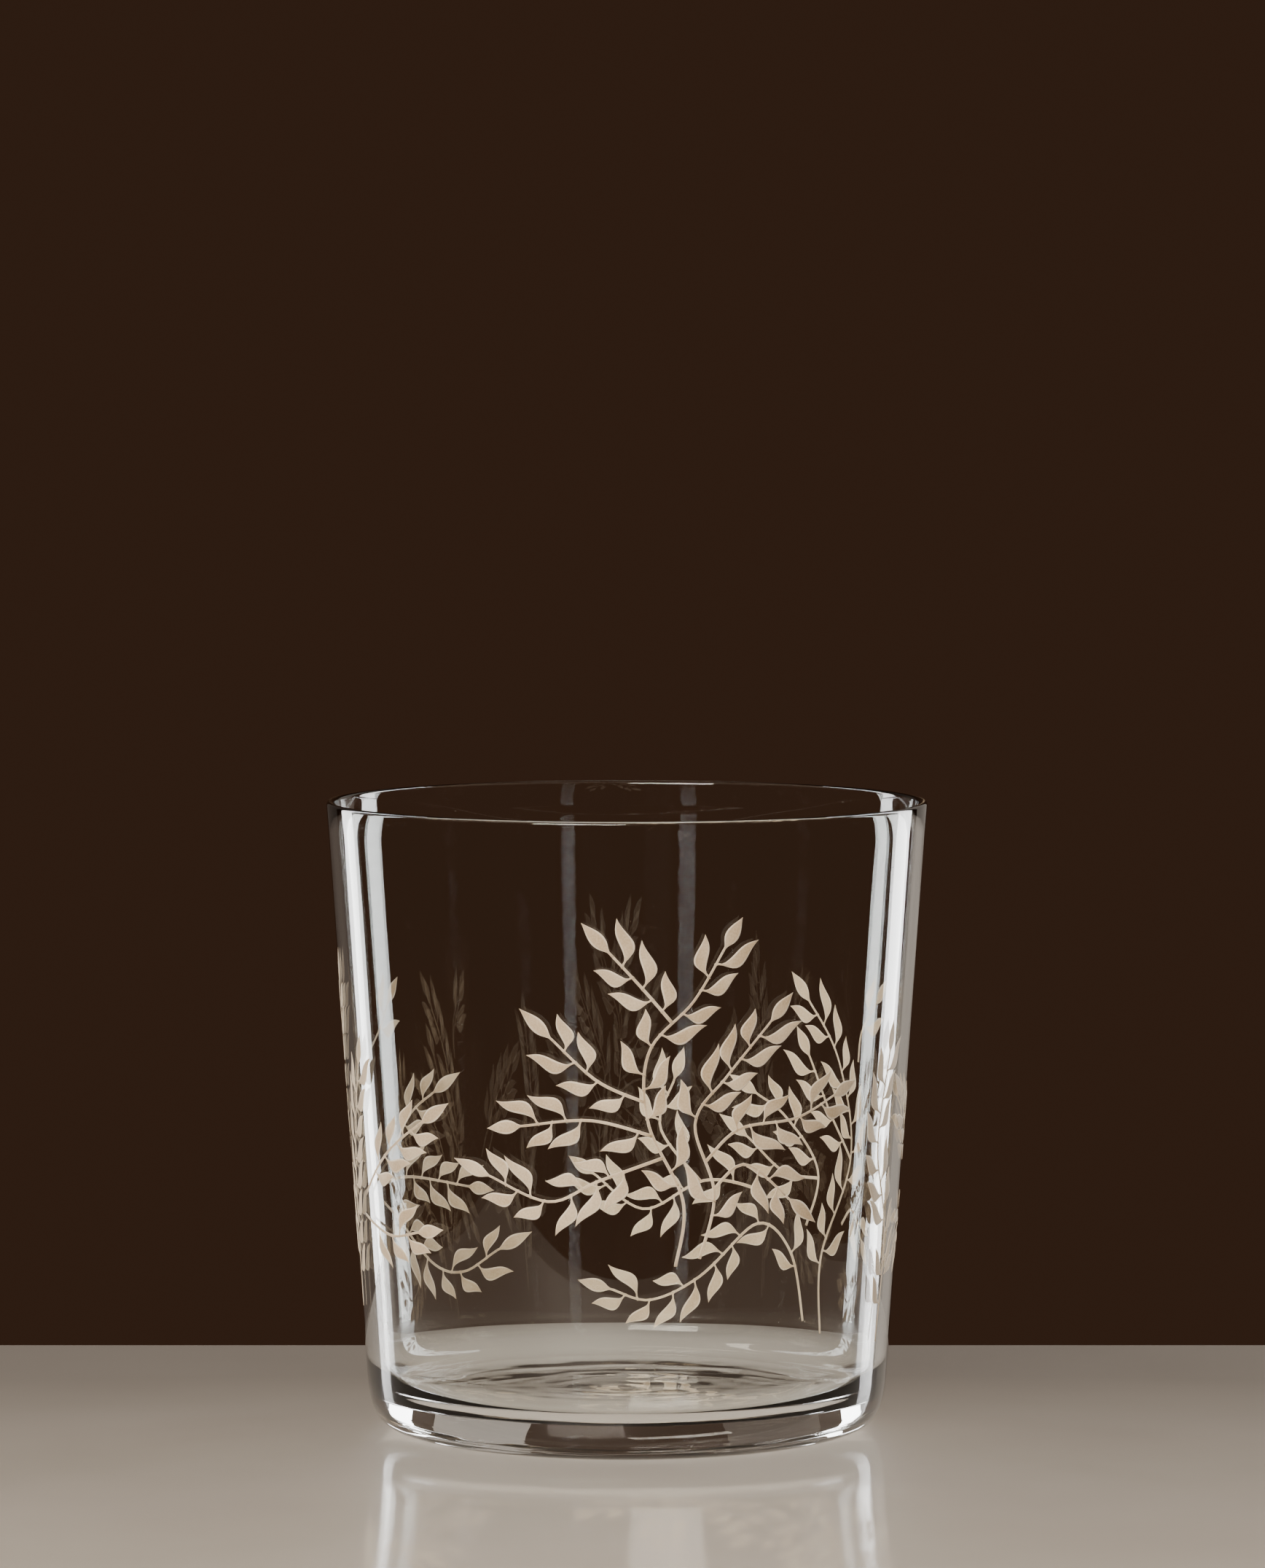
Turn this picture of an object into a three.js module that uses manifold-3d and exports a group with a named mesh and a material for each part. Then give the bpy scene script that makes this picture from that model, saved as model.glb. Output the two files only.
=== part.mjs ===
// Tapered drinking glass with leafy sprays fired onto the outside of its wall.
// Millimetres, +Z up, origin at the middle of the underside, front towards -Y.
import * as THREE from 'three';
import { mergeVertices } from 'three/addons/utils/BufferGeometryUtils.js';
import Module from 'manifold-3d';

// ---- glass ----
const height = 90;
const rimRadius = 43;
const taper = 0.069;          // radius lost per millimetre going down
const rimWall = 1.1;
const lowerWall = 1.7;        // wall where the inside corner begins
const floorThickness = 5.2;
const cornerHeight = 8;       // outside corner, from the underside up to the straight wall
const cornerWidth = 6.79;     // outside corner, from the wall in to the flat underside
const innerCornerHeight = 5.5;
const innerCornerWidth = 6;
const facets = 72;

// ---- print ----
const printThickness = 0.15;
const printGap = 0.15;        // keeps the facets of the print off those of the glass
const stemWidth = 0.46;
const stemTipWidth = 0.32;
const leafLength = 6.1;
const leafWidth = 1.9;
const leafVariety = 0.14;     // share by which a leaf is longer or shorter than most
const varietyStep = 2.4;      // radians of that wave from one leaf to the next
const leafSpacing = 2.05;     // along the stem, from one leaf to the next on the other side
const leafAngle = 46;         // degrees from the stem, at the stem's foot
const tipLeafAngle = 34;      // the same, at its tip
const leafBow = 0.13;         // sideways bow of a leaf, for each millimetre of its length
const bareFoot = 5;           // stem without leaves at the foot of a spray
const bareBranch = 2;         // the same where a branch leaves its stem
const inkClearance = 0.2;     // bare glass round each leaf
const leafStations = [0.26, 0.5, 0.78]; // shares of a leaf's length where its outline bends
const leafSpotShares = [0.3, 0.55, 0.8, 1]; // shares where it is tested for room
const stalkRoot = 0.3;        // how far a leaf's stalk reaches into its stem
const shortestEdge = 0.12;
const smallestHole = 0.1;     // square millimetres
const stemStep = 2.4;
const bandFoot = 9;           // from the underside to the artwork's foot line
const bandRimMargin = 13.5;   // from the artwork's top line to the rim
const maxFacetRun = 3.2;      // longest run of one flat facet round the wall

// The artwork is drawn flat at this size and wraps once round the wall.
// The tips of a few leaves pass its foot and top lines by about a millimetre.
const artRadius = 40;
const artFoot = 9;
const artTop = 76.5;

// Each stem has only the points that its curve needs: u runs round the wall from the middle of
// the front, z runs up it. A branch leaves its stem at a share of the stem's length.
const sprays = {
  front_tall_spray: {
    stem: [[7, 28], [8, 37], [3, 48], [3, 58], [9, 65], [13, 72]],
    branches: [
      { from: 0.75, stem: [[2, 67], [-2, 71.5]] },
      { from: 0.5, stem: [[-4, 54], [-10, 59.5]] },
      { from: 0.4, stem: [[-5, 48.5], [-14.5, 47.5]] },
      { from: 0.33, stem: [[-4, 40], [-11, 37], [-19.5, 40]] },
    ],
  },
  front_short_spray: {
    stem: [[10.5, 29], [12.5, 38], [9.5, 48], [14, 54.5], [20, 61.5]],
    branches: [
      { from: 0.38, stem: [[16, 47], [25, 48], [31.5, 50.5]] },
      { from: 0.27, stem: [[17, 42], [24, 37]] },
    ],
  },
  left_upper_spray: { stem: [[-49, 35], [-41, 41.5], [-32.5, 46.5]] },
  left_lower_spray: { stem: [[-50, 32], [-41, 30], [-34.5, 31]] },
  left_edge_spray: { stem: [[-57, 18], [-55, 36], [-49, 53]] },
  left_tall_spray: { stem: [[-68, 13], [-66, 40], [-59, 63]] },
  right_tall_spray: { stem: [[48, 14], [49, 29], [44, 42], [46, 55]] },
  right_upper_spray: { stem: [[69, 33.5], [62, 41.5], [54, 48]] },
  right_lower_spray: { stem: [[70, 26.5], [61.5, 30], [54.5, 26]] },
  back_edge_spray: { stem: [[83, 50], [82.5, 54.5], [79, 58.5]] },
  back_low_edge_spray: { stem: [[85, 26], [82, 28.5], [78, 25]] },
  back_right_spray: {
    stem: [[89, 9.5], [90, 21], [83.5, 36], [88, 49], [95.5, 57.5]],
    branches: [{ from: 0.52, stem: [[90, 42], [95, 49.5]] }],
  },
  back_middle_spray: {
    stem: [[94, 25], [92, 33], [99, 40.5], [104.5, 43.5]],
    branches: [{ from: 0.3, stem: [[99, 32.5], [106, 37]] }],
  },
  back_swoop_spray: { stem: [[93.5, 11], [97, 21], [104, 24.5], [114, 16], [122, 12.5], [128, 14]] },
  back_centre_spray: {
    stem: [[103.5, 29.5], [113, 30.5], [123, 26], [130.5, 31]],
    branches: [{ from: 0.35, stem: [[120.5, 38], [118.5, 45]] }],
  },
  back_left_swoop_spray: { stem: [[177, 30.5], [170, 27], [161, 19.5], [154, 18], [147.5, 20.5]] },
  back_left_middle_spray: { stem: [[175.5, 33], [166, 33], [153, 30.5]] },
  back_left_upper_spray: { stem: [[171.5, 36.5], [165, 42], [159.5, 44.5]] },
  back_left_top_spray: { stem: [[178, 52.5], [173, 55], [169.5, 58.5]] },
};

const wasm = await Module();
wasm.setup();

const glassMaterial = () => new THREE.MeshStandardMaterial({
  color: 0xdfe6e4, roughness: 0.03, metalness: 0, transparent: true, opacity: 0.35,
});
const printMaterial = () => new THREE.MeshStandardMaterial({
  color: 0xd8c9b2, roughness: 0.75, metalness: 0,
});

function outerRadius(z) {
  return rimRadius - taper * (height - z);
}

function cubic(a, b, c, d, steps) {
  return new THREE.CubicBezierCurve(a, b, c, d).getPoints(steps);
}

// Outside: flat foot, full corner, straight tapered wall, small round rim.
// Inside: straight wall a little thicker towards the floor, round corner, flat floor.
function glassProfile() {
  const v = (r, z) => new THREE.Vector2(r, z);
  const cornerTop = outerRadius(cornerHeight);
  const wallFoot = outerRadius(0);
  const footRadius = wallFoot - cornerWidth;
  const outerCorner = cubic(
    v(footRadius, 0),
    v(footRadius + cornerWidth * 0.74, 0),
    v(cornerTop - taper * cornerHeight * 0.9, cornerHeight * 0.08),
    v(cornerTop, cornerHeight),
    7,
  );
  const lip = rimWall / 2;
  const rim = [];
  for (let i = 0; i <= 4; i += 1) {
    const a = Math.PI * (i / 4);
    rim.push(v(rimRadius - lip + lip * Math.cos(a), height - lip + lip * Math.sin(a)));
  }
  const innerCornerTop = floorThickness + innerCornerHeight;
  const innerRadius = outerRadius(innerCornerTop) - lowerWall;
  const innerCorner = cubic(
    v(innerRadius, innerCornerTop),
    v(innerRadius - taper * innerCornerHeight * 0.7, floorThickness + innerCornerHeight * 0.3),
    v(innerRadius - innerCornerWidth * 0.4, floorThickness),
    v(innerRadius - innerCornerWidth, floorThickness),
    5,
  );
  return [v(0, 0), ...outerCorner, ...rim, ...innerCorner, v(0, floorThickness)];
}

function glassBody() {
  return new THREE.LatheGeometry(glassProfile(), facets).rotateX(Math.PI / 2);
}

// Half width of a leaf along its length: a short stalk, a full belly and a point.
function leafHalfWidth(t) {
  const belly = Math.sin(Math.PI * Math.min(1, Math.max(0, (t - 0.1) / 0.9)) ** 0.85);
  return Math.max(stemTipWidth / 2 * (1 - t / 2), belly * leafWidth / 2);
}

const leftOf = (direction) => new THREE.Vector2(-direction.y, direction.x).normalize();

const stemCurve = (points) => new THREE.SplineCurve(points.map(([u, z]) => new THREE.Vector2(u, z)));

// The curve of a stem, followed by those of its branches.
function growStems({ stem, branches = [] }, bare = bareFoot) {
  const curve = stemCurve(stem);
  const grown = branches.flatMap((branch) => {
    const { x, y } = curve.getPointAt(branch.from);
    return growStems({ stem: [[x, y], ...branch.stem] }, bareBranch);
  });
  return [{ curve, bare, leaves: [] }, ...grown];
}

// From the tip down: one leaf straight on, then one to each side in turn.
function growLeaves({ curve, bare }) {
  const total = curve.getLength();
  const count = Math.floor((total - bare) / leafSpacing);
  return Array.from({ length: count + 1 }, (_, i) => {
    const share = 1 - i * leafSpacing / total;
    const side = i === 0 ? 0 : (-1) ** i;
    const lean = THREE.MathUtils.degToRad(THREE.MathUtils.lerp(leafAngle, tipLeafAngle, share));
    return {
      base: curve.getPointAt(share),
      direction: curve.getTangentAt(share).rotateAround(new THREE.Vector2(), side * lean),
      side,
      length: leafLength * (1 + leafVariety * Math.sin(total + varietyStep * i)),
    };
  });
}

// A point of a leaf: t runs from its foot to its tip, edge from one side to the other.
// The belly hangs back from the way the stem grows, and the tip flicks forward.
function leafPoint({ base, direction, side, length }, t, edge) {
  const bow = side * leafBow * length * Math.sin(Math.PI * Math.max(0, t));
  return base.clone().addScaledVector(direction, length * t)
    .addScaledVector(leftOf(direction), edge * leafHalfWidth(t) + bow);
}

function apart(a, b) {
  const lap = 2 * Math.PI * artRadius;
  const round = Math.abs(a.x - b.x) % lap;
  return Math.hypot(Math.min(round, lap - round), a.y - b.y);
}

// Ink is known by spots along its middle, each with the half width of the ink there.
function stemSpots(stem) {
  return stem.curve.getSpacedPoints(Math.ceil(stem.curve.getLength()))
    .map((place) => ({ place, half: stemWidth / 2, stem }));
}

function leafSpots(leaf) {
  return leafSpotShares.map((t) => ({ place: leafPoint(leaf, t, 0), half: leafHalfWidth(t) }));
}

// Grows every spray. A leaf that has no room beside other ink is left off.
function growSprays() {
  const grown = Object.entries(sprays).map(([name, spray]) => ({ name, stems: growStems(spray) }));
  const stems = grown.flatMap((spray) => spray.stems);
  const ink = stems.flatMap(stemSpots);
  stems.forEach((stem) => {
    growLeaves(stem).forEach((leaf) => {
      const spots = leafSpots(leaf);
      const clear = spots.every((spot) => ink.every((other) => other.stem === stem
        || apart(spot.place, other.place) > spot.half + other.half + inkClearance));
      if (!clear) return;
      stem.leaves.push(leaf);
      ink.push(...spots);
    });
  });
  return grown;
}

// The stalk starts a little inside the stem, so that the two join.
function leafShape(leaf) {
  const stations = [-stalkRoot / leaf.length, ...leafStations];
  const out = stations.map((t) => leafPoint(leaf, t, 1));
  const back = stations.map((t) => leafPoint(leaf, t, -1)).reverse();
  return new THREE.Shape([...out, leafPoint(leaf, 1, 0), ...back]);
}

function stemShape(curve) {
  const steps = Math.max(2, Math.round(curve.getLength() / stemStep));
  const left = [];
  const right = [];
  for (let i = 0; i <= steps; i += 1) {
    const t = i / steps;
    const half = THREE.MathUtils.lerp(stemWidth, stemTipWidth, t) / 2;
    const point = curve.getPointAt(t);
    const across = leftOf(curve.getTangentAt(t));
    left.push(point.clone().addScaledVector(across, half));
    right.unshift(point.clone().addScaledVector(across, -half));
  }
  return new THREE.Shape([...left, ...right]);
}

function toSolid(geometry) {
  const bare = geometry.clone();
  bare.deleteAttribute('normal');
  bare.deleteAttribute('uv');
  const merged = mergeVertices(bare);
  return new wasm.Manifold(new wasm.Mesh({
    numProp: 3,
    vertProperties: new Float32Array(merged.attributes.position.array),
    triVerts: new Uint32Array(merged.index.array),
  }));
}

function joinFlat({ stems }) {
  const shapes = stems.flatMap(({ curve, leaves }) => [stemShape(curve), ...leaves.map(leafShape)]);
  const slabs = shapes
    .map((shape) => toSolid(new THREE.ExtrudeGeometry(shape, { depth: 1, bevelEnabled: false })));
  return slabs.reduce((whole, next) => whole.add(next)).getMesh();
}

// The closed edge loops of the top face of a flat solid.
function topLoops(mesh) {
  const corner = (v) => Array.from(mesh.vertProperties.slice(v * mesh.numProp, v * mesh.numProp + 3));
  const edges = new Set();
  for (let i = 0; i < mesh.numTri; i += 1) {
    const t = Array.from(mesh.triVerts.slice(i * 3, i * 3 + 3));
    if (t.every((v) => corner(v)[2] > 0.5)) {
      t.forEach((v, k) => edges.add(`${v}_${t[(k + 1) % 3]}`));
    }
  }
  const following = new Map();
  edges.forEach((key) => {
    const [from, to] = key.split('_');
    if (!edges.has(`${to}_${from}`)) following.set(from, to);
  });
  const loops = [];
  while (following.size > 0) {
    const loop = [];
    let at = following.keys().next().value;
    while (following.has(at)) {
      const [u, z] = corner(Number(at));
      loop.push(new THREE.Vector2(u, z));
      const next = following.get(at);
      following.delete(at);
      at = next;
    }
    loops.push(loop);
  }
  return loops;
}

// Leaves out corners that are too close together or hardly bend the edge.
function cleanLoop(loop) {
  const spaced = [];
  loop.forEach((point) => {
    const last = spaced[spaced.length - 1];
    if (!last || last.distanceTo(point) > shortestEdge) spaced.push(point);
  });
  while (spaced.length > 3 && spaced[0].distanceTo(spaced[spaced.length - 1]) <= shortestEdge) {
    spaced.pop();
  }
  return spaced.filter((point, i) => {
    const before = spaced[(i + spaced.length - 1) % spaced.length];
    const after = spaced[(i + 1) % spaced.length];
    const chord = after.clone().sub(before);
    return Math.abs(chord.cross(point.clone().sub(before))) / chord.length() > 0.01;
  });
}

// One flat outline, with its holes, round everything in a spray.
function inkShape(spray) {
  const loops = topLoops(joinFlat(spray)).map(cleanLoop)
    .filter((loop) => loop.length > 2 && Math.abs(THREE.ShapeUtils.area(loop)) > smallestHole)
    .sort((a, b) => Math.abs(THREE.ShapeUtils.area(b)) - Math.abs(THREE.ShapeUtils.area(a)));
  const shape = new THREE.Shape(loops[0]);
  shape.holes = loops.slice(1).map((loop) => new THREE.Path(loop));
  return shape;
}

// Splits every edge that runs too far round the wall, the same way in both of its triangles.
function splitLongRuns(points, triangles) {
  const middles = new Map();
  const run = (a, b) => Math.abs(points[a][0] - points[b][0]);
  const middle = (a, b) => {
    const key = a < b ? `${a}_${b}` : `${b}_${a}`;
    if (!middles.has(key)) {
      middles.set(key, points.length);
      points.push(points[a].map((value, i) => (value + points[b][i]) / 2));
    }
    return middles.get(key);
  };
  const out = [];
  triangles.forEach((t) => {
    const long = [0, 1, 2].filter((i) => run(t[i], t[(i + 1) % 3]) > maxFacetRun);
    if (long.length === 0) {
      out.push(t);
    } else if (long.length === 1) {
      const [a, b, c] = [0, 1, 2].map((i) => t[(long[0] + i) % 3]);
      const m = middle(a, b);
      out.push([a, m, c], [m, b, c]);
    } else if (long.length === 2) {
      const first = [0, 1, 2].find((i) => !long.includes(i));
      const [a, b, c] = [0, 1, 2].map((i) => t[(first + i) % 3]);
      const m = middle(b, c);
      const n = middle(c, a);
      out.push([c, n, m], [a, b, m], [a, m, n]);
    } else {
      const [a, b, c] = t;
      const [m, n, o] = [middle(a, b), middle(b, c), middle(c, a)];
      out.push([a, m, o], [m, b, n], [o, n, c], [m, n, o]);
    }
  });
  return { points, triangles: out, split: middles.size > 0 };
}

// Lays a point of the flat artwork on the wall.
function onWall([u, artZ, depth]) {
  const stretch = (height - bandRimMargin - bandFoot) / (artTop - artFoot);
  const z = bandFoot + (artZ - artFoot) * stretch;
  const angle = u / artRadius;
  const radius = outerRadius(z) + printGap + depth;
  return [radius * Math.sin(angle), -radius * Math.cos(angle), z];
}

function sprayGeometry(spray) {
  const settings = { depth: printThickness, bevelEnabled: false };
  const flat = new THREE.ExtrudeGeometry(inkShape(spray), settings);
  flat.deleteAttribute('normal');
  flat.deleteAttribute('uv');
  const merged = mergeVertices(flat);
  const position = merged.attributes.position;
  let points = Array.from({ length: position.count }, (_, i) => (
    [position.getX(i), position.getY(i), position.getZ(i)]
  ));
  const index = Array.from(merged.index.array);
  let triangles = Array.from({ length: index.length / 3 }, (_, i) => index.slice(i * 3, i * 3 + 3));
  for (let pass = 0, again = true; again && pass < 6; pass += 1) {
    const result = splitLongRuns(points, triangles);
    points = result.points;
    triangles = result.triangles;
    again = result.split;
  }
  const geometry = new THREE.BufferGeometry();
  const placed = points.flatMap(onWall);
  geometry.setAttribute('position', new THREE.Float32BufferAttribute(placed, 3));
  geometry.setIndex(triangles.flat());
  geometry.computeVertexNormals();
  return geometry;
}

function named(name, geometry, material) {
  const mesh = new THREE.Mesh(geometry, material);
  mesh.name = name;
  return mesh;
}

const group = new THREE.Group();
group.add(named('glass_body', glassBody(), glassMaterial()));
growSprays().forEach((spray) => {
  group.add(named(spray.name, sprayGeometry(spray), printMaterial()));
});

export default group;
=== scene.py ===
# A thin-walled drinking glass with leafy sprays of fired enamel round the outside of its wall.
# Metres, +Z up, the front of the glass towards -Y. Layout numbers are in millimetres.
import bisect
import math

import bmesh
import bpy
from mathutils import Matrix, Vector, noise


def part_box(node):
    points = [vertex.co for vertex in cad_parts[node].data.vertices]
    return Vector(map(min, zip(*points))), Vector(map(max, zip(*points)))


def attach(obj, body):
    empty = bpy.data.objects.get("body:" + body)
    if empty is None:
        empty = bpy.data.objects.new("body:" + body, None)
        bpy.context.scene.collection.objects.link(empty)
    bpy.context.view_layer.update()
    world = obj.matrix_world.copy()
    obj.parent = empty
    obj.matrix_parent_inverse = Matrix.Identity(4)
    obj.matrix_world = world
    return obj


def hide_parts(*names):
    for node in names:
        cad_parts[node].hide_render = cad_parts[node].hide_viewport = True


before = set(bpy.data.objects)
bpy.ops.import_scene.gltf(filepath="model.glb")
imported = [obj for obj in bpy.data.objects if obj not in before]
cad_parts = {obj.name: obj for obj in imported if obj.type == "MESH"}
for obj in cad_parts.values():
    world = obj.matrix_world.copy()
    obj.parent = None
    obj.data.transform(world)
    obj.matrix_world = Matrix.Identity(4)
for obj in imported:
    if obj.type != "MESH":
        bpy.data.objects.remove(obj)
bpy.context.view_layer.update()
glassLow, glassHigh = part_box("glass_body")
print("frame loaded, glass", [round(v * 1000, 1) for v in glassHigh - glassLow], "mm")

mm = 0.001


# small helpers
def toLinear(hexColour):
    def channel(at):
        v = int(hexColour[at:at + 2], 16) / 255
        return v / 12.92 if v <= 0.04045 else ((v + 0.055) / 1.055) ** 2.4
    return (channel(1), channel(3), channel(5), 1)


def addNode(tree, kind, settings=None, inputs=None, links=None):
    # settings are the node's own, inputs are socket values, links are socket: (node, output)
    node = tree.nodes.new(kind)
    for name, value in (settings or {}).items():
        setattr(node, name, value)
    for name, value in (inputs or {}).items():
        node.inputs[name].default_value = value
    for name, (source, output) in (links or {}).items():
        tree.links.new(source.outputs[output], node.inputs[name])
    return node


def newMaterial(name, inputs):
    material = bpy.data.materials.new(name)
    material.use_nodes = True
    tree = material.node_tree
    tree.nodes.clear()
    surface = addNode(tree, "ShaderNodeBsdfPrincipled", inputs=inputs)
    addNode(tree, "ShaderNodeOutputMaterial", links={"Surface": (surface, "BSDF")})
    return material, tree, surface


def newPiece(name, work, material):
    bmesh.ops.recalc_face_normals(work, faces=work.faces)
    for face in work.faces:
        face.smooth = True
    mesh = bpy.data.meshes.new(name)
    work.to_mesh(mesh)
    work.free()
    mesh.materials.append(material)
    piece = bpy.data.objects.new(name, mesh)
    bpy.context.scene.collection.objects.link(piece)
    return piece


# materials
def clearGlass():
    # Soda-lime glass, machine blown and fire polished: clear, a trace of green in its depth,
    # slow waves that make every reflected edge wander.
    material, tree, surface = newMaterial("sodaLimeGlass", {
        "Base Color": toLinear("#fbfdfc"),
        "Roughness": 0.0,
        "IOR": 1.51,
        "Transmission Weight": 1.0,
    })
    place = addNode(tree, "ShaderNodeTexCoord")
    drawn = addNode(tree, "ShaderNodeMapping", inputs={"Scale": (1, 1, 0.35)},
                    links={"Vector": (place, "Object")})
    # one slow wave every 14 mm round the wall, three times longer going up
    waves = addNode(tree, "ShaderNodeTexNoise", inputs={"Scale": 1 / (14 * mm), "Detail": 1.0},
                    links={"Vector": (drawn, "Vector")})
    bump = addNode(tree, "ShaderNodeBump", inputs={"Strength": 0.25, "Distance": 0.02 * mm},
                   links={"Height": (waves, "Fac")})
    tree.links.new(bump.outputs["Normal"], surface.inputs["Normal"])
    return material


def firedEnamel():
    # Screen-printed ceramic enamel fired onto the glass: matte, warm beige, finely grained,
    # and paler along its outline, which is a painted highlight where light would catch the ink's
    # edge.
    material, tree, surface = newMaterial("firedEnamel", {
        "Roughness": 0.62,
        "IOR": 1.5,
        "Specular IOR Level": 0.35,
    })
    place = addNode(tree, "ShaderNodeTexCoord")
    # grain of the fired powder, drawn 0.25 mm coarse so that it shows
    grain = addNode(tree, "ShaderNodeTexNoise", inputs={"Scale": 1 / (0.25 * mm), "Detail": 3.0},
                    links={"Vector": (place, "Object")})
    # slow change of ink thickness every 6 mm
    cloud = addNode(tree, "ShaderNodeTexNoise", inputs={"Scale": 1 / (6 * mm), "Detail": 2.0},
                    links={"Vector": (place, "Object")})
    blend = addNode(tree, "ShaderNodeMath", {"operation": "MULTIPLY_ADD"}, {1: 0.55},
                    {0: (grain, "Fac"), 2: (cloud, "Fac")})
    body = addNode(tree, "ShaderNodeValToRGB", links={"Fac": (blend, "Value")})
    body.color_ramp.elements[0].position = 0.45
    body.color_ramp.elements[0].color = toLinear(enamel["darkHex"])
    body.color_ramp.elements[1].position = 1.1
    body.color_ramp.elements[1].color = toLinear(enamel["lightHex"])
    # the outline: x of the map runs from -1 to 1 across a leaf, and near its ends a painted
    # highlight is mixed in
    across = addNode(tree, "ShaderNodeUVMap", {"uv_map": "acrossLeaf"})
    split = addNode(tree, "ShaderNodeSeparateXYZ", links={"Vector": (across, "UV")})
    side = addNode(tree, "ShaderNodeMath", {"operation": "ABSOLUTE"}, links={0: (split, "X")})
    rim = addNode(tree, "ShaderNodeMapRange", inputs={
        "From Min": enamel["outlineFrom"], "From Max": enamel["outlineTo"],
        "To Min": 0.0, "To Max": enamel["outline"],
    }, links={"Value": (side, "Value")})
    # painted highlight: the pale highlight colour is mixed over the ink along the outline
    colour = addNode(tree, "ShaderNodeMix", {"data_type": "RGBA"},
                     links={"Factor": (rim, "Result")})
    # sockets 6 and 7 are its colours A and B, and output 2 is the colour made of them
    colour.inputs[7].default_value = toLinear(enamel["outlineHighlightHex"])
    tree.links.new(body.outputs["Color"], colour.inputs[6])
    tree.links.new(colour.outputs[2], surface.inputs["Base Color"])
    bump = addNode(tree, "ShaderNodeBump", inputs={"Strength": 0.5, "Distance": 0.01 * mm},
                   links={"Height": (grain, "Fac")})
    tree.links.new(bump.outputs["Normal"], surface.inputs["Normal"])
    return material


def paleBoard():
    # Lacquered board under the glass: pale warm grey, a smooth hard coat over it.
    material, tree, surface = newMaterial("lacqueredBoard", {
        "Roughness": 0.45,
        "Coat Weight": 1.0,
        "Coat Roughness": 0.08,
    })
    place = addNode(tree, "ShaderNodeTexCoord")
    cloud = addNode(tree, "ShaderNodeTexNoise", inputs={"Scale": 1 / (30 * mm), "Detail": 4.0},
                    links={"Vector": (place, "Object")})
    tone = addNode(tree, "ShaderNodeValToRGB", links={"Fac": (cloud, "Fac")})
    tone.color_ramp.elements[0].color = toLinear("#b9b2a8")
    tone.color_ramp.elements[1].color = toLinear("#c5beb4")
    tree.links.new(tone.outputs["Color"], surface.inputs["Base Color"])
    return material


# the glass
glass = {
    "taper": 0.069,             # radius lost per millimetre going down
    "rimWall": 1.1,
    "lowerWall": 1.7,           # wall where the inside corner begins
    "floorThickness": 5.2,
    "cornerHeight": 8.0,
    "cornerWidth": 6.79,
    "innerCornerHeight": 5.5,
    "innerCornerWidth": 6.0,
    "footRing": 1.6,            # width of the ring it stands on
    "footHollow": 0.35,         # how far the underside rises inside the ring
    "cornerPull": (0.74, 0.9, 0.08),      # curve handles: along the foot, in from the wall, up
    "innerCornerPull": (0.7, 0.3, 0.4),   # in from the wall, up, along the floor
    "hollowPull": (0.5, 0.92),            # both along the underside
    "hollowSteps": 18,
    "footSteps": 3,
    "cornerSteps": 26,
    "outerWallSteps": 24,
    "rimSteps": 12,
    "innerWallSteps": 60,
    "innerCornerSteps": 22,
    "floorSteps": 44,
    "turns": 240,               # steps of the spin
    "mergeWithin": 1e-4,
    "waves": {                  # how the inside wanders
        "wall": 0.035,              # how far the wall moves
        "wallRound": 11,            # size of its waves round the glass
        "wallUp": 42,               # and going up
        "rimStill": 1,              # no wave this near the rim
        "rimFade": 12,              # and full waves this much further down
        "floor": 0.07,              # how far the floor moves
        "floorAbove": 2,            # the floor's waves end this far above it
        "floorBelow": 1.5,
        "ring": 0.95,               # rings in the floor, as millimetres for each radian
        "ringShare": 0.35,
        "ringBreak": 2.4,           # radians by which the rings are broken up
        "ringPatch": 8,             # size of the patches that break them up
        "swell": 5.5,               # size of the swells between them
        "ringSeed": 3,
        "swellSeed": 7,
        "outsideShare": 0.8,        # share of the rim's wall that counts as outside and stays still
    },
}
height = glassHigh.z / mm
rimRadius = glassHigh.x / mm


def outerRadius(z):
    return rimRadius - glass["taper"] * (height - z)


def cubic(a, b, c, d, steps):
    return [a * (1 - t) ** 3 + b * (3 * t * (1 - t) ** 2) + c * (3 * t * t * (1 - t)) + d * t ** 3
            for t in (i / steps for i in range(steps + 1))]


def straight(a, b, steps):
    return [a.lerp(b, i / steps) for i in range(1, steps)]


def point(radius, z):
    return Vector((radius, 0, z))


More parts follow.
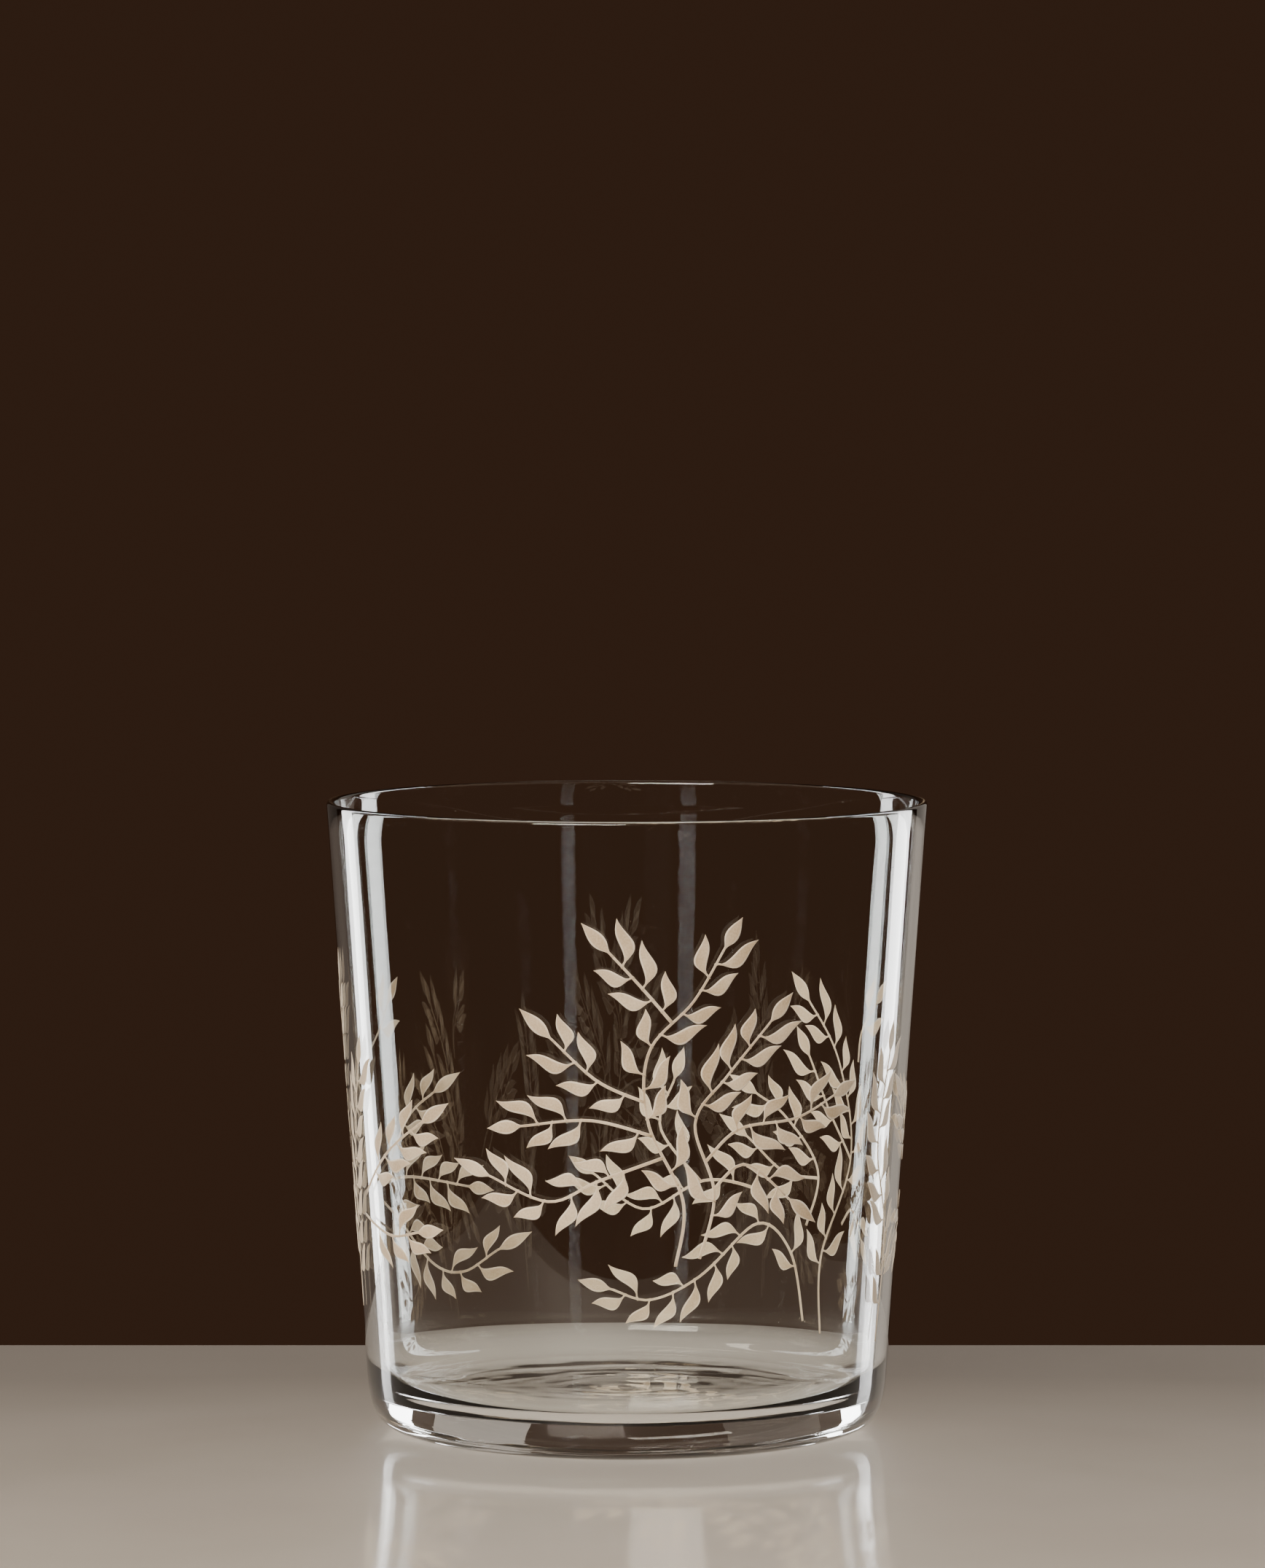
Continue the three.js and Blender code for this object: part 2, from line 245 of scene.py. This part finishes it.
def glassOutline():
    # from the middle of the underside, up the outside, over the rim, down to the inner floor
    g = glass
    cornerTop = outerRadius(g["cornerHeight"])
    footRadius = outerRadius(0) - g["cornerWidth"]
    along, inward, up = g["cornerPull"]
    outside = cubic(
        point(footRadius, 0),
        point(footRadius + g["cornerWidth"] * along, 0),
        point(cornerTop - g["taper"] * g["cornerHeight"] * inward, g["cornerHeight"] * up),
        point(cornerTop, g["cornerHeight"]), g["cornerSteps"])
    lip = g["rimWall"] / 2
    rim = [point(rimRadius - lip + lip * math.cos(a), height - lip + lip * math.sin(a))
           for a in (math.pi * i / g["rimSteps"] for i in range(g["rimSteps"] + 1))]
    innerTop = g["floorThickness"] + g["innerCornerHeight"]
    innerRadius = outerRadius(innerTop) - g["lowerWall"]
    inward, up, along = g["innerCornerPull"]
    inside = cubic(
        point(innerRadius, innerTop),
        point(innerRadius - g["taper"] * g["innerCornerHeight"] * inward,
              g["floorThickness"] + g["innerCornerHeight"] * up),
        point(innerRadius - g["innerCornerWidth"] * along, g["floorThickness"]),
        point(innerRadius - g["innerCornerWidth"], g["floorThickness"]), g["innerCornerSteps"])
    hollow = footRadius - g["footRing"]
    near, far = g["hollowPull"]
    under = cubic(point(0, g["footHollow"]), point(hollow * near, g["footHollow"]),
                  point(hollow * far, g["footHollow"]), point(hollow, 0), g["hollowSteps"])
    middle = point(0, g["floorThickness"])
    return (under + straight(under[-1], outside[0], g["footSteps"]) + outside
            + straight(outside[-1], rim[0], g["outerWallSteps"]) + rim
            + straight(rim[-1], inside[0], g["innerWallSteps"]) + inside
            + straight(inside[-1], middle, g["floorSteps"]) + [middle])


def wander(place):
    # Inside of the wall: long upright waves. Inside of the floor: rings, broken up.
    w, floorTop = glass["waves"], glass["floorThickness"]
    x, y, z = place
    radius = math.hypot(x, y)
    if radius < 1e-6 or radius > outerRadius(z) - w["outsideShare"] * glass["rimWall"]:
        return place
    moved = place.copy()
    fade = min(1, max(0, (height - w["rimStill"] - z) / w["rimFade"]))
    across, up = w["wallRound"], w["wallUp"]
    wave = noise.noise(Vector((x / across, y / across, z / up))) * w["wall"] * fade
    moved.x += x / radius * wave
    moved.y += y / radius * wave
    onFloor = min(1, max(0, (floorTop + w["floorAbove"] - z) / w["floorAbove"]))
    if z > floorTop - w["floorBelow"]:
        patch = noise.noise(Vector((x / w["ringPatch"], y / w["ringPatch"], w["ringSeed"])))
        rings = math.sin(radius / w["ring"] + w["ringBreak"] * patch)
        swell = noise.noise(Vector((x / w["swell"], y / w["swell"], w["swellSeed"])))
        moved.z += onFloor * w["floor"] * (w["ringShare"] * rings + swell)
    return moved


def buildGlass(material):
    work = bmesh.new()
    corners = [work.verts.new(p) for p in glassOutline()]
    edges = [work.edges.new(pair) for pair in zip(corners, corners[1:])]
    bmesh.ops.spin(work, geom=corners + edges, cent=(0, 0, 0), axis=(0, 0, 1), dvec=(0, 0, 0),
                   angle=2 * math.pi, steps=glass["turns"], use_merge=True)
    bmesh.ops.remove_doubles(work, verts=work.verts, dist=glass["mergeWithin"])
    for v in work.verts:
        v.co = wander(v.co) * mm
    piece = newPiece("clearGlassBody", work, material)
    # Light passes through to the print on the far side instead of being held back,
    # so the glass throws no shadow and no bright patch on the board either.
    piece.visible_shadow = False
    piece.visible_diffuse = False
    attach(piece, "root")
    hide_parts("glass_body")


# the print
enamel = {
    "gap": 0.008,               # the underside of the ink is held this far off the glass
    "film": 0.045,              # its outer face
    "layer": 0.004,             # neighbouring leaves differ in thickness by this
    "stemWidth": 0.46,
    "stemTipWidth": 0.32,
    "leafLength": 6.1,
    "leafWidth": 1.9,
    "stalkShare": 0.1,          # share of a leaf's length before its blade begins
    "bellyLift": 1.04,          # the blade: its fullness,
    "bellyPlace": 0.78,         # how near the foot it is widest
    "bellyTaper": 1.2,          # and how fine its ends are
    "plainPlace": 0.85,         # the same as bellyPlace, for the outline used in the test of room
    "tipFade": 8,               # how sharply the stalk's own width ends at the tip
    "leafVariety": 0.14,        # share by which a leaf is longer or shorter than most
    "varietyStep": 2.4,         # radians of that wave from one leaf to the next
    "leafSpacing": 2.05,        # along the stem, from one leaf to the next on the other side
    "leafAngle": 46,            # degrees from the stem, at the stem's foot
    "tipLeafAngle": 34,         # the same, at its tip
    "leafBow": 0.13,            # sideways bow for each millimetre of a leaf's length
    "leafSway": 0.06,           # S of the midline for each millimetre of its length
    "bareFoot": 5,              # stem without leaves at the foot of a spray
    "bareBranch": 2,            # the same where a branch leaves its stem
    "clearance": 0.2,           # bare glass round each leaf
    "spotShares": (0.3, 0.55, 0.8, 1),  # shares of a leaf's length where it is tested for room
    "stalkRoot": 0.3,           # the stalk starts this far back, inside its stem
    "curveSteps": 64,           # steps from one point of a stem to the next
    "columns": (0, 0.84, 1),    # from the midline out: the outer two make the rounded edge
    "edgeThinning": 0.5,        # share of the thickness lost at the very edge
    "edgeSharpness": 6,
    "layers": 4,                # leaf thicknesses before they repeat
    "leafRows": 14,
    "stemRow": 1.1,             # length of stem for each of its rows
    "fewestRows": 4,
    "darkHex": "#b39c7c",
    "lightHex": "#e0cfb4",
    # colour of the painted highlight along each leaf's outline
    "outlineHighlightHex": "#f1e7d6",
    "outline": 0.75,            # strength of the painted highlight along the outline
    "outlineFrom": 0.7,         # where it begins, as a share of the half width
    "outlineTo": 0.85,
}
artRadius = 40                  # radius of the wall that the layout is measured on

# Each stem has only the points that its curve needs: u runs round the wall from the middle
# of the front, z up from the table. A branch leaves its stem at a share of the stem's length.
sprays = {
    "frontTallSpray": {
        "node": "front_tall_spray",
        "stem": [(7, 28), (8, 37), (3, 48), (3, 58), (9, 65), (13, 72)],
        "branches": [
            {"from": 0.75, "stem": [(2, 67), (-2, 71.5)]},
            {"from": 0.5, "stem": [(-4, 54), (-10, 59.5)]},
            {"from": 0.4, "stem": [(-5, 48.5), (-14.5, 47.5)]},
            {"from": 0.33, "stem": [(-4, 40), (-11, 37), (-19.5, 40)]},
        ],
    },
    "frontShortSpray": {
        "node": "front_short_spray",
        "stem": [(10.5, 29), (12.5, 38), (9.5, 48), (14, 54.5), (20, 61.5)],
        "branches": [
            {"from": 0.38, "stem": [(16, 47), (25, 48), (31.5, 50.5)]},
            {"from": 0.27, "stem": [(17, 42), (24, 37)]},
        ],
    },
    "leftUpperSpray": {"node": "left_upper_spray", "stem": [(-49, 35), (-41, 41.5), (-32.5, 46.5)]},
    "leftLowerSpray": {"node": "left_lower_spray", "stem": [(-50, 32), (-41, 30), (-34.5, 31)]},
    "leftEdgeSpray": {"node": "left_edge_spray", "stem": [(-57, 18), (-55, 36), (-49, 53)]},
    "leftTallSpray": {"node": "left_tall_spray", "stem": [(-68, 13), (-66, 40), (-59, 63)]},
    "rightTallSpray": {
        "node": "right_tall_spray",
        "stem": [(48, 14), (49, 29), (44, 42), (46, 55)],
    },
    "rightUpperSpray": {"node": "right_upper_spray", "stem": [(69, 33.5), (62, 41.5), (54, 48)]},
    "rightLowerSpray": {"node": "right_lower_spray", "stem": [(70, 26.5), (61.5, 30), (54.5, 26)]},
    "backEdgeSpray": {"node": "back_edge_spray", "stem": [(83, 50), (82.5, 54.5), (79, 58.5)]},
    "backLowEdgeSpray": {"node": "back_low_edge_spray", "stem": [(85, 26), (82, 28.5), (78, 25)]},
    "backRightSpray": {
        "node": "back_right_spray",
        "stem": [(89, 9.5), (90, 21), (83.5, 36), (88, 49), (95.5, 57.5)],
        "branches": [{"from": 0.52, "stem": [(90, 42), (95, 49.5)]}],
    },
    "backMiddleSpray": {
        "node": "back_middle_spray",
        "stem": [(94, 25), (92, 33), (99, 40.5), (104.5, 43.5)],
        "branches": [{"from": 0.3, "stem": [(99, 32.5), (106, 37)]}],
    },
    "backSwoopSpray": {
        "node": "back_swoop_spray",
        "stem": [(93.5, 11), (97, 21), (104, 24.5), (114, 16), (122, 12.5), (128, 14)],
    },
    "backCentreSpray": {
        "node": "back_centre_spray",
        "stem": [(103.5, 29.5), (113, 30.5), (123, 26), (130.5, 31)],
        "branches": [{"from": 0.35, "stem": [(120.5, 38), (118.5, 45)]}],
    },
    "backLeftSwoopSpray": {
        "node": "back_left_swoop_spray",
        "stem": [(177, 30.5), (170, 27), (161, 19.5), (154, 18), (147.5, 20.5)],
    },
    "backLeftMiddleSpray": {
        "node": "back_left_middle_spray",
        "stem": [(175.5, 33), (166, 33), (153, 30.5)],
    },
    "backLeftUpperSpray": {
        "node": "back_left_upper_spray",
        "stem": [(171.5, 36.5), (165, 42), (159.5, 44.5)],
    },
    "backLeftTopSpray": {
        "node": "back_left_top_spray",
        "stem": [(178, 52.5), (173, 55), (169.5, 58.5)],
    },
}


def onWall(flat, depth):
    angle = flat.x / artRadius
    radius = outerRadius(flat.y) + depth
    return Vector((radius * math.sin(angle), -radius * math.cos(angle), flat.y)) * mm


def leftOf(direction):
    return Vector((-direction.y, direction.x))


def smoothStem(points):
    # a smooth curve through all the points, and how far along it each small step is
    held = [Vector(p) for p in (points[0], *points, points[-1])]
    dense, lengths, steps = [held[0]], [0], enamel["curveSteps"]
    for a, b, c, d in zip(held, held[1:], held[2:], held[3:]):
        for i in range(1, steps + 1):
            t = i / steps
            at = 0.5 * (2 * b + (c - a) * t + (2 * a - 5 * b + 4 * c - d) * t * t
                        + (3 * b - a - 3 * c + d) * t ** 3)
            lengths.append(lengths[-1] + (at - dense[-1]).length)
            dense.append(at)
    return {"dense": dense, "lengths": lengths, "total": lengths[-1], "leaves": []}


def alongStem(stem, share):
    # the place at a share of the stem's length, and the way the stem grows there
    dense, lengths = stem["dense"], stem["lengths"]
    wanted = stem["total"] * share
    at = min(max(bisect.bisect_right(lengths, wanted) - 1, 0), len(dense) - 2)
    step = dense[at + 1] - dense[at]
    return dense[at] + step * ((wanted - lengths[at]) / step.length), step.normalized()


def growStems(layout, bare):
    # the curve of a stem, followed by those of its branches
    stem = smoothStem(layout["stem"])
    stem["bare"] = bare
    grown = [stem]
    for branch in layout.get("branches", []):
        start = tuple(alongStem(stem, branch["from"])[0])
        grown += growStems({"stem": [start, *branch["stem"]]}, enamel["bareBranch"])
    return grown


def growLeaves(stem):
    # from the tip down: one leaf straight on, then one to each side in turn
    e, total = enamel, stem["total"]
    leaves = []
    for i in range(math.floor((total - stem["bare"]) / e["leafSpacing"]) + 1):
        share = 1 - i * e["leafSpacing"] / total
        side = 0 if i == 0 else (-1) ** i
        lean = math.radians(e["leafAngle"] + (e["tipLeafAngle"] - e["leafAngle"]) * share)
        base, growth = alongStem(stem, share)
        variety = math.sin(total + e["varietyStep"] * i)
        leaves.append({
            "base": base,
            "direction": Matrix.Rotation(side * lean, 2) @ growth,
            "side": side,
            "length": e["leafLength"] * (1 + e["leafVariety"] * variety),
            "number": i,
        })
    return leaves


def bladeShare(t):
    return min(1, max(0, (t - enamel["stalkShare"]) / (1 - enamel["stalkShare"])))


def leafHalf(t):
    # half width of the ink at a share of the leaf's length
    e = enamel
    belly = e["bellyLift"] * math.sin(math.pi * bladeShare(t) ** e["bellyPlace"]) ** e["bellyTaper"]
    stalk = e["stemTipWidth"] / 2 * (1 - t / 2) * min(1, (1 - t) * e["tipFade"])
    return max(stalk, belly * e["leafWidth"] / 2)


def plainHalf(t):
    # half width of the same leaf in the frame, which settles whether a leaf has room
    e = enamel
    belly = math.sin(math.pi * bladeShare(t) ** e["plainPlace"])
    return max(e["stemTipWidth"] / 2 * (1 - t / 2), belly * e["leafWidth"] / 2)


def leafPoint(leaf, t, aside, sway=0):
    # t runs from the foot of the leaf to its tip, aside is millimetres off its midline
    held = math.pi * max(0, t)
    bow = enamel["leafBow"] * math.sin(held) + sway * math.sin(2 * held)
    off = aside + leaf["side"] * leaf["length"] * bow
    forward = leaf["direction"]
    return leaf["base"] + forward * (leaf["length"] * t) + leftOf(forward) * off


def apart(a, b):
    lap = 2 * math.pi * artRadius
    gone = abs(a.x - b.x) % lap
    return math.hypot(min(gone, lap - gone), a.y - b.y)


def growSprays():
    # Ink is known by spots along its middle, each with the half width of the ink there.
    # A leaf that has no room beside other ink is left off.
    grown = {name: growStems(spray, enamel["bareFoot"]) for name, spray in sprays.items()}
    stems = [stem for group in grown.values() for stem in group]
    ink = []
    for number, stem in enumerate(stems):
        steps = math.ceil(stem["total"])
        ink += [(alongStem(stem, i / steps)[0], enamel["stemWidth"] / 2, number)
                for i in range(steps + 1)]
    for number, stem in enumerate(stems):
        for leaf in growLeaves(stem):
            spots = [(leafPoint(leaf, t, 0), plainHalf(t), None) for t in enamel["spotShares"]]
            if all(owner == number or apart(spot, other) > half + otherHalf + enamel["clearance"]
                   for spot, half, _ in spots for other, otherHalf, owner in ink):
                stem["leaves"].append(leaf)
                ink += spots
    return grown


def layFilm(work, rows, place, depth):
    # a flat grid, bent into one leaf or stem, laid on the wall and given its thickness
    columns = enamel["columns"]
    made = bmesh.ops.create_grid(work, x_segments=2 * (len(columns) - 1), y_segments=rows,
                                 size=1)["verts"]
    mapLayer = work.loops.layers.uv["acrossLeaf"]
    flats, sides, sources = {}, {}, {}
    for v in made:
        column = round(abs(v.co.x) * (len(columns) - 1))
        sides[v] = math.copysign(columns[column], v.co.x)
        flats[v] = place((v.co.y + 1) / 2, sides[v])
        v.co = onWall(flats[v], enamel["gap"])
        sources[round(v.co.x, 9)] = v  # found again by x, which two of them can share
    faces = list(dict.fromkeys(face for v in made for face in v.link_faces))
    for face in faces:
        for loop in face.loops:
            loop[mapLayer].uv = (sides[loop.vert], 0)
    lifted = bmesh.ops.extrude_face_region(work, geom=faces, use_keep_orig=True)["geom"]
    for v in lifted:
        if isinstance(v, bmesh.types.BMVert):
            source = sources[round(v.co.x, 9)]
            edge = abs(sides[source]) ** enamel["edgeSharpness"]
            v.co = onWall(flats[source], depth * (1 - enamel["edgeThinning"] * edge))


def layStem(work, stem):
    def place(t, side):
        at, growth = alongStem(stem, t)
        half = (enamel["stemWidth"] * (1 - t) + enamel["stemTipWidth"] * t) / 2
        return at + leftOf(growth) * (side * half)
    rows = max(enamel["fewestRows"], round(stem["total"] / enamel["stemRow"]))
    layFilm(work, rows, place, enamel["film"])


def layLeaf(work, leaf):
    root = -enamel["stalkRoot"] / leaf["length"]
    depth = enamel["film"] + enamel["layer"] * (1 + leaf["number"] % enamel["layers"])

    def place(share, side):
        t = root + (1 - root) * share
        return leafPoint(leaf, t, side * leafHalf(t), enamel["leafSway"])
    layFilm(work, enamel["leafRows"], place, depth)


def buildSpray(name, stems, material):
    work = bmesh.new()
    work.loops.layers.uv.new("acrossLeaf")
    for stem in stems:
        layStem(work, stem)
        for leaf in stem["leaves"]:
            layLeaf(work, leaf)
    bmesh.ops.remove_doubles(work, verts=work.verts, dist=1e-8)
    piece = newPiece(name, work, material)
    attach(piece, "root")
    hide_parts(sprays[name]["node"])


# the set
stage = {
    "wide": 0.30,
    "front": 0.125,             # in front of the glass's axis
    "back": 0.08,               # behind it
    "thick": 0.012,
    "edge": 0.003,              # rounding of its edges
    "edgeSteps": 4,
    "below": 0.00005,           # the board's top lies this far under the glass
    "backdropHex": "#342319",
}


def buildFloor(material):
    work = bmesh.new()
    bmesh.ops.create_cube(work, size=1)
    deep = stage["front"] + stage["back"]
    bmesh.ops.scale(work, vec=(stage["wide"], deep, stage["thick"]), verts=work.verts)
    middle = (stage["back"] - stage["front"]) / 2
    low = -stage["thick"] / 2 - stage["below"]
    bmesh.ops.translate(work, vec=(0, middle, low), verts=work.verts)
    bmesh.ops.bevel(work, geom=work.edges, offset=stage["edge"], segments=stage["edgeSteps"],
                    profile=0.5, affect="EDGES", material=-1)
    floor = newPiece("paleFloor", work, material)


camera = {
    "place": (0.0008, -1.0, 0.160),
    "tiltDown": 0.0676,         # radians
    "lens": 160.87,
    "sensor": 36,
    "nearest": 0.01,
}

lights = {
    # name: place, aimed at, width, height, watts, colour
    "leftStrip": ((-0.505, 0.455, 0.34), (0, 0, 0.34), 0.12, 1.02, 4.6, "#ffffff"),
    "rightStrip": ((0.517, 0.441, 0.34), (0, 0, 0.34), 0.155, 1.02, 5.95, "#ffffff"),
    "leftGlow": ((-0.40, 0.85, 0.2), (0, 0, 0.2), 0.34, 1.1, 0.08, "#fff4e6"),
    "rightGlow": ((0.40, 0.85, 0.2), (0, 0, 0.2), 0.34, 1.1, 0.42, "#fff4e6"),
    "frontSoft": ((-0.45, -1.3, 0.78), (0, 0, 0.05), 0.9, 0.4, 40, "#fff1e0"),
}


def buildSet():
    buildFloor(paleBoard())
    for name, (place, aim, wide, high, watts, colour) in lights.items():
        lamp = bpy.data.lights.new(name, "AREA")
        lamp.shape = "RECTANGLE"
        lamp.size, lamp.size_y = wide, high
        lamp.energy = watts
        lamp.color = toLinear(colour)[:3]
        holder = bpy.data.objects.new(name, lamp)
        holder.location = place
        holder.rotation_euler = (Vector(aim) - Vector(place)).to_track_quat("-Z", "Y").to_euler()
        bpy.context.scene.collection.objects.link(holder)
    world = bpy.data.worlds.new("darkStudio")
    bpy.context.scene.world = world
    world.use_nodes = True
    backdrop = world.node_tree.nodes["Background"]
    backdrop.inputs["Color"].default_value = toLinear(stage["backdropHex"])
    backdrop.inputs["Strength"].default_value = 1.0
    lens = bpy.data.cameras.new("viewCamera")
    lens.lens = camera["lens"]
    lens.sensor_width = camera["sensor"]
    lens.clip_start = camera["nearest"]
    seen = bpy.data.objects.new("viewCamera", lens)
    seen.location = camera["place"]
    seen.rotation_euler = (math.pi / 2 - camera["tiltDown"], 0, 0)
    bpy.context.scene.collection.objects.link(seen)
    bpy.context.scene.camera = seen


buildGlass(clearGlass())
print("glass built")
inkMaterial = firedEnamel()
for sprayName, sprayStems in growSprays().items():
    buildSpray(sprayName, sprayStems, inkMaterial)
print("print built,", len(sprays), "sprays")
buildSet()
print("set built")
